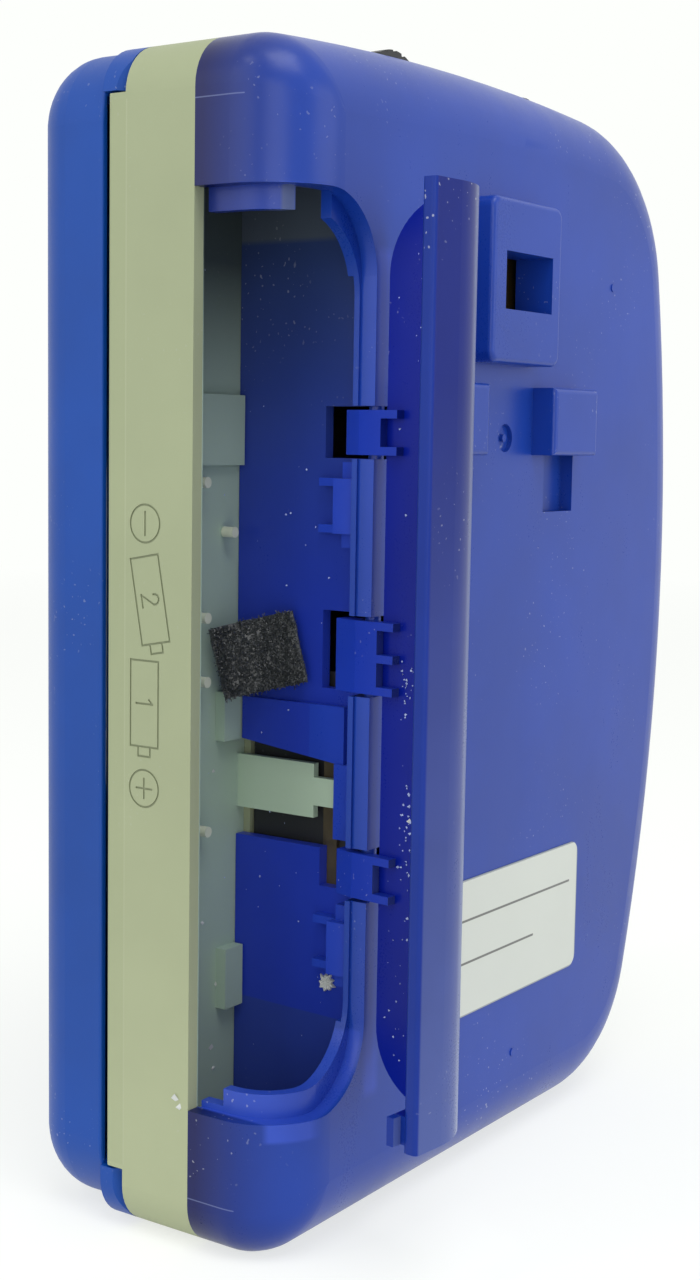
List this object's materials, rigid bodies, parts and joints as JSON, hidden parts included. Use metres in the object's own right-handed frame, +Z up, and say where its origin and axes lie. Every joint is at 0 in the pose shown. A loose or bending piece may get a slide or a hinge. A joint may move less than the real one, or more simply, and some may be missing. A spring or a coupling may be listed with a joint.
{
  "type": "portable cassette player",
  "caption": "Portable cassette player with an opening battery door, a hinged cassette lid, side keys and a belt-driven tape transport.",
  "frame": {"origin": "on the flat bottom face, at the middle of the case's depth and near the middle of its width", "axes": "+Z up the long side, -Y out of the cassette lid, +Y out of the back, +X towards the lid hinge and the battery door"},
  "size_m": [0.0868, 0.0463, 0.1184],
  "materials": {
    "case_plastic": "fine satin grain, slightly greyed on the back",
    "lid_plastic": "fine satin grain",
    "clear_plastic": "clear moulded window",
    "key_plastic": "satin grey",
    "sheet_steel": "zinc plated",
    "plated_steel": "nickel plated",
    "brass": "plain",
    "rubber": "dull black",
    "label": "satin, blank",
    "pile": "short black pile",
    "white_plastic": "natural white",
    "board": "brown resin board",
    "black_plastic": "satin black"
  },
  "bodies": {
    "body": {"chassis": "case_plastic", "rear_cover": "case_plastic", "rating_plate": "label", "pile_pad": "pile", "bus_strip": "brass", "plus_contact": "plated_steel", "minus_contact": "plated_steel", "key_bracket": "sheet_steel", "motor": "plated_steel", "drive_belt": "rubber", "reel_plate": "sheet_steel", "capstan_bearing": "brass", "circuit_board": "board", "board_parts": "black_plastic", "volume_body": "black_plastic", "headphone_jack": "black_plastic", "case_screws": "plated_steel"},
    "lid": {"cassette_lid": "lid_plastic", "lid_window": "clear_plastic", "lid_springs": "sheet_steel", "lid_catch": "black_plastic"},
    "door": {"battery_door": "lid_plastic"},
    "play": {"play_key": "key_plastic"},
    "stop": {"stop_key": "key_plastic"},
    "forward": {"forward_key": "key_plastic"},
    "rewind": {"rewind_key": "key_plastic"},
    "head": {"head_slide": "sheet_steel", "play_head": "plated_steel"},
    "arm": {"pinch_arm": "sheet_steel"},
    "roller": {"pinch_roller": "rubber"},
    "flywheel": {"flywheel": "brass", "capstan": "plated_steel"},
    "pulley": {"motor_pulley": "brass"},
    "idler": {"idler_gear": "white_plastic"},
    "take_up_reel": {"take_up_spindle": "white_plastic", "take_up_gear": "white_plastic"},
    "supply_reel": {"supply_spindle": "white_plastic", "supply_gear": "white_plastic"},
    "volume": {"volume_wheel": "black_plastic"}
  },
  "joints": [
    {"name": "lid_hinge", "type": "hinge", "parent": "body", "child": "lid", "pos_m": [0.0402, -0.0048, 0.059], "axis": [0, 0, 1], "range_deg": [0, 40]},
    {"name": "battery_door_hinge", "type": "hinge", "parent": "body", "child": "door", "pos_m": [0.0272, 0.01568, 0.0585], "axis": [0, 0, 1], "range_deg": [-84.2, 0]},
    {"name": "rewind_press", "type": "slide", "parent": "body", "child": "rewind", "axis": [1, 0, 0], "range_m": [0, 0.0024], "stiffness_N_per_m": 250},
    {"name": "forward_press", "type": "slide", "parent": "body", "child": "forward", "axis": [1, 0, 0], "range_m": [0, 0.0024], "stiffness_N_per_m": 250},
    {"name": "play_press", "type": "slide", "parent": "body", "child": "play", "axis": [1, 0, 0], "range_m": [0, 0.0024], "stiffness_N_per_m": 250},
    {"name": "stop_press", "type": "slide", "parent": "body", "child": "stop", "axis": [1, 0, 0], "range_m": [0, 0.0024], "stiffness_N_per_m": 250},
    {"name": "head_travel", "type": "slide", "parent": "body", "child": "head", "axis": [1, 0, 0], "range_m": [0, 0.0024]},
    {"name": "pinch_swing", "type": "hinge", "parent": "body", "child": "arm", "pos_m": [-0.029, -0.004, 0.0155], "axis": [0, 1, 0], "range_deg": [0, 13]},
    {"name": "pinch_roller_spin", "type": "hinge", "parent": "arm", "child": "roller", "pos_m": [-0.0285, -0.009, 0.027], "axis": [0, 1, 0], "continuous": true},
    {"name": "flywheel_spin", "type": "hinge", "parent": "body", "child": "flywheel", "pos_m": [-0.0205, 0.002, 0.027], "axis": [0, 1, 0], "continuous": true},
    {"name": "pulley_spin", "type": "hinge", "parent": "body", "child": "pulley", "pos_m": [0.009, 0.0022, 0.018], "axis": [0, 1, 0], "continuous": true},
    {"name": "idler_spin", "type": "hinge", "parent": "body", "child": "idler", "pos_m": [-0.01103, 0, 0.03453], "axis": [0, 1, 0], "continuous": true},
    {"name": "take_up_spin", "type": "hinge", "parent": "body", "child": "take_up_reel", "pos_m": [0.008, -0.004, 0.03775], "axis": [0, 1, 0], "continuous": true},
    {"name": "supply_spin", "type": "hinge", "parent": "body", "child": "supply_reel", "pos_m": [0.008, -0.004, 0.08025], "axis": [0, 1, 0], "continuous": true},
    {"name": "volume_turn", "type": "hinge", "parent": "body", "child": "volume", "pos_m": [0.017, 0.0095, 0.11245], "axis": [0, 1, 0], "range_deg": [-135, 135]}
  ],
  "couplings": [
    {"joint": "head_travel", "follows": "play_press", "ratio": 1},
    {"joint": "pinch_swing", "follows": "play_press", "rad_per_m": 94.5},
    {"joint": "pulley_spin", "follows": "flywheel_spin", "ratio": 5},
    {"joint": "idler_spin", "follows": "flywheel_spin", "ratio": -0.66667},
    {"joint": "take_up_spin", "follows": "flywheel_spin", "ratio": 0.4}
  ]
}
